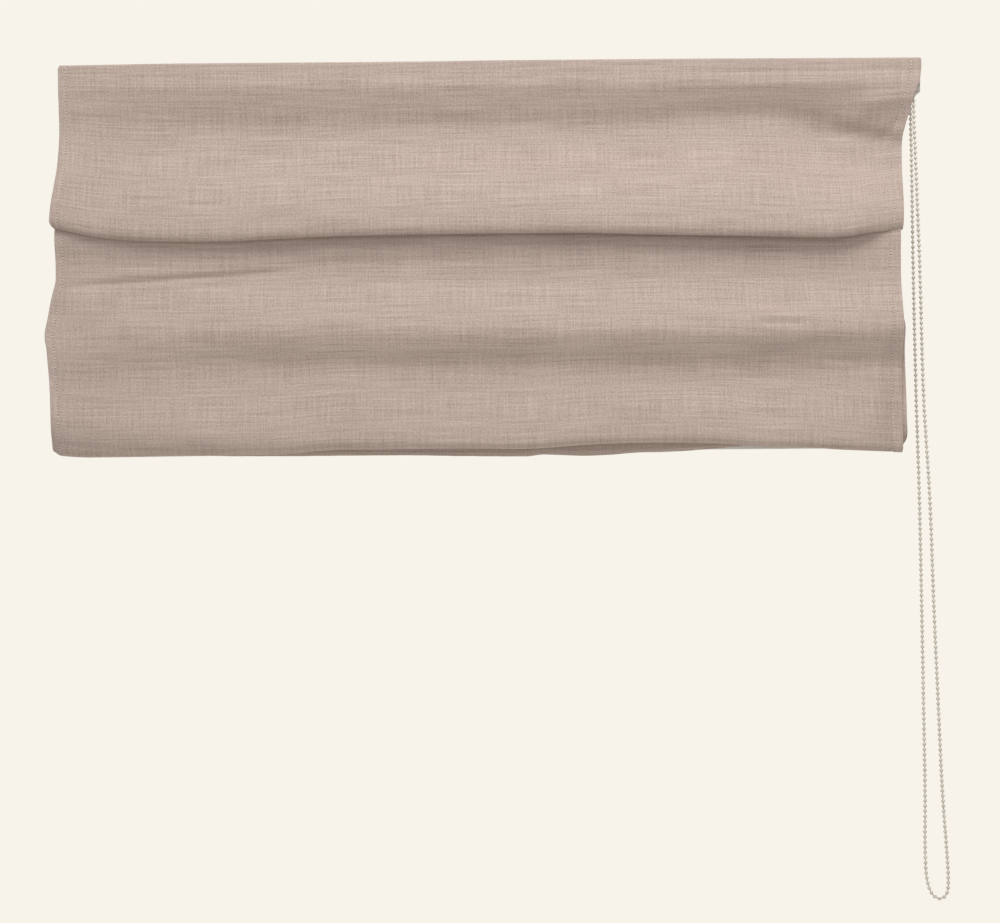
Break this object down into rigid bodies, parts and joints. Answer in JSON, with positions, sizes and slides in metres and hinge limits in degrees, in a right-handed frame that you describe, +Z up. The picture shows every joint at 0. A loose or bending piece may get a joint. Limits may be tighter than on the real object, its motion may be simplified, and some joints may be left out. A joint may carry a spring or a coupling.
{
  "type": "roman blind",
  "caption": "Chain-operated roman blind in a linen-look cloth, gathered into soft folds under its headrail, with ceiling brackets, lift cords, batten rods and a bead chain loop.",
  "frame": {"origin": "on the ceiling plane, midway between the two bracket screw holes", "axes": "+X along the headrail towards the chain, +Y towards the window, +Z up into the ceiling"},
  "size_m": [1.0438, 0.0696, 0.9815],
  "materials": {
    "cloth": "taupe linen-look weave with thick and thin threads",
    "white_metal": "white powder coat on extruded aluminium",
    "steel": "zinc-plated",
    "dark_steel": "spring steel",
    "ivory_plastic": "moulded, satin",
    "grey_plastic": "moulded, satin",
    "bead_plastic": "pearly moulded beads on a polyester thread",
    "cord": "braided polyester",
    "tape": "hook and loop pile",
    "glass_fibre": "smooth white glass fibre"
  },
  "bodies": {
    "headrail": {"headrail": "white_metal", "hook_tape": "tape", "loop_tape": "tape", "fabric_panel": "cloth", "idle_end_cap": "ivory_plastic", "idle_bush": "grey_plastic", "drive_housing": "ivory_plastic", "drive_cover": "grey_plastic", "brake_spring": "steel", "cover_screws": "steel", "drum_cradle_left": "grey_plastic", "drum_cradle_middle": "grey_plastic", "drum_cradle_right": "grey_plastic", "bracket_left": "steel", "bracket_right": "steel", "lever_rivets": "steel", "lift_cord_left": "cord", "lift_cord_middle": "cord", "lift_cord_right": "cord", "bead_chain": "bead_plastic"},
    "drive": {"chain_wheel": "ivory_plastic", "wheel_beads": "bead_plastic", "drive_shaft": "steel", "cord_drum_left": "ivory_plastic", "cord_drum_middle": "ivory_plastic", "cord_drum_right": "ivory_plastic", "cord_windings": "cord"},
    "rod_1": {"batten_rod_1": "glass_fibre", "rod_pocket_1": "cloth", "cord_rings_1": "ivory_plastic"},
    "rod_2": {"batten_rod_2": "glass_fibre", "rod_pocket_2": "cloth", "cord_rings_2": "ivory_plastic"},
    "rod_3": {"batten_rod_3": "glass_fibre", "rod_pocket_3": "cloth", "cord_rings_3": "ivory_plastic", "cord_ties": "ivory_plastic", "bottom_bar": "white_metal", "bar_caps": "ivory_plastic"},
    "lever_left": {"bracket_lever_left": "dark_steel"},
    "lever_right": {"bracket_lever_right": "dark_steel"}
  },
  "joints": [
    {"name": "drive_spin", "type": "hinge", "parent": "headrail", "child": "drive", "pos_m": [0, 0, -0.018], "axis": [-1, 0, 0], "range_deg": [0, 7200]},
    {"name": "rod_1_drop", "type": "slide", "parent": "headrail", "child": "rod_1", "axis": [0, -0.2086, -0.978], "range_m": [0, 0.07669], "deforming": ["fabric_panel", "lift_cord_left", "lift_cord_middle", "lift_cord_right"]},
    {"name": "rod_2_drop", "type": "slide", "parent": "rod_1", "child": "rod_2", "axis": [0, 0, -1], "range_m": [0, 0.542]},
    {"name": "rod_3_drop", "type": "slide", "parent": "rod_2", "child": "rod_3", "axis": [0, 0, -1], "range_m": [0, 0.495]},
    {"name": "lever_turn_left", "type": "hinge", "parent": "headrail", "child": "lever_left", "pos_m": [-0.3, 0, -0.005], "axis": [0, 0, 1], "range_deg": [-90, 0]},
    {"name": "lever_turn_right", "type": "hinge", "parent": "headrail", "child": "lever_right", "pos_m": [0.34, 0, -0.005], "axis": [0, 0, 1], "range_deg": [-90, 0]}
  ],
  "couplings": [
    {"joint": "drive_spin", "follows": "rod_3_drop", "rad_per_m": 253.87},
    {"joint": "rod_1_drop", "follows": "rod_3_drop", "ratio": 0.15492},
    {"joint": "rod_2_drop", "follows": "rod_3_drop", "ratio": 1.0949}
  ]
}
